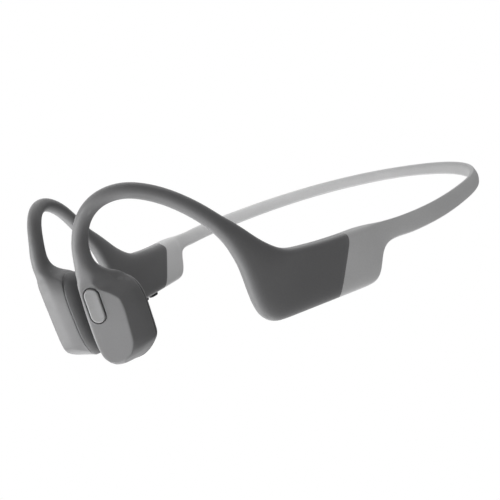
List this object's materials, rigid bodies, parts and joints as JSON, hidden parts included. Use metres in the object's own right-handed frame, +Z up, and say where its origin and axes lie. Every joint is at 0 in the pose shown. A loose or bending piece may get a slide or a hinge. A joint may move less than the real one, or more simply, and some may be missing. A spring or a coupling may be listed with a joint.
{
  "type": "bone conduction headphones",
  "caption": "Bone conduction headphones: a springy neckband joins flat pods whose ear hooks reach forward to cheek transducers, with volume keys under one pod and a pill-shaped side key.",
  "frame": {"origin": "centre of the bounding box's underside: mid-plane of the wearer in X, halfway along the depth in Y, lowest point of the transducers at Z 0", "axes": "+Z up, the wearer faces -Y, +X is the wearer's left; the neckband's bow is at +Y and the transducers are at -Y"},
  "size_m": [0.105, 0.1266, 0.042],
  "materials": {
    "dark_silicone": "soft matt silicone, dark grey",
    "pale_silicone": "soft matt silicone, light grey",
    "cheek_silicone": "soft matt silicone, darker grey",
    "titanium": "drawn titanium wire",
    "cable_jacket": "thin cable jacket",
    "steel": "pressed steel",
    "magnet": "nickel plated magnet",
    "copper": "enamelled copper",
    "black_plastic": "moulded black plastic",
    "button_grey": "matt grey key",
    "foil": "metal foil and pressed cans",
    "circuit_board": "green solder mask",
    "gold": "gold plated contact",
    "light_guide": "clear white light guide"
  },
  "bodies": {
    "neckband_rear": {"neckband_skin_rear": "pale_silicone", "neckband_wire_rear": "titanium", "neckband_cable_rear": "cable_jacket"},
    "arm_left": {"ear_hook_skin_left": "dark_silicone", "neckband_skin_left": "pale_silicone", "cheek_cover_left": "cheek_silicone", "hook_wire_left": "titanium", "neckband_wire_left": "titanium", "hook_cable_left": "cable_jacket", "neckband_cable_left": "cable_jacket", "yoke_cup_left": "steel", "pole_plate_left": "steel", "spring_plate_left": "steel", "magnet_left": "magnet", "voice_coil_left": "copper", "antenna": "copper", "driver_bracket_left": "black_plastic", "cheek_pad_core_left": "black_plastic", "pod_frame_left": "black_plastic", "battery": "foil", "button_switch": "foil", "button_board": "circuit_board", "battery_board": "circuit_board"},
    "arm_right": {"ear_hook_skin_right": "dark_silicone", "neckband_skin_right": "pale_silicone", "cheek_cover_right": "cheek_silicone", "hook_wire_right": "titanium", "neckband_wire_right": "titanium", "hook_cable_right": "cable_jacket", "neckband_cable_right": "cable_jacket", "yoke_cup_right": "steel", "pole_plate_right": "steel", "spring_plate_right": "steel", "magnet_right": "magnet", "voice_coil_right": "copper", "driver_bracket_right": "black_plastic", "cheek_pad_core_right": "black_plastic", "pod_frame_right": "black_plastic", "radio_processor": "black_plastic", "charging_block": "black_plastic", "volume_up_switch": "foil", "volume_down_switch": "foil", "main_board": "circuit_board", "charging_pin_front": "gold", "charging_pin_rear": "gold", "microphone_front": "gold", "microphone_outer": "gold", "status_light": "light_guide"},
    "multifunction_key": {"multifunction_button": "button_grey"},
    "volume_up_key": {"volume_up_button": "black_plastic"},
    "volume_down_key": {"volume_down_button": "black_plastic"}
  },
  "joints": [
    {"name": "neckband_flex_left", "type": "hinge", "parent": "neckband_rear", "child": "arm_left", "pos_m": [0.0403, 0.04671, 0.01175], "axis": [0, 0, 1], "range_deg": [0, 20], "stiffness_Nm_per_rad": 0.25},
    {"name": "neckband_flex_right", "type": "hinge", "parent": "neckband_rear", "child": "arm_right", "pos_m": [-0.0403, 0.04671, 0.01175], "axis": [0, 0, -1], "range_deg": [0, 20], "stiffness_Nm_per_rad": 0.25},
    {"name": "multifunction_press", "type": "slide", "parent": "arm_left", "child": "multifunction_key", "axis": [-0.7174, 0.6952, 0.0445], "range_m": [0, 0.0004], "stiffness_N_per_m": 1000},
    {"name": "volume_up_press", "type": "slide", "parent": "arm_right", "child": "volume_up_key", "axis": [0, 0, 1], "range_m": [0, 0.0004], "stiffness_N_per_m": 1000},
    {"name": "volume_down_press", "type": "slide", "parent": "arm_right", "child": "volume_down_key", "axis": [0, 0, 1], "range_m": [0, 0.0004], "stiffness_N_per_m": 1000}
  ],
  "couplings": [
    {"joint": "neckband_flex_right", "follows": "neckband_flex_left", "ratio": 1}
  ]
}
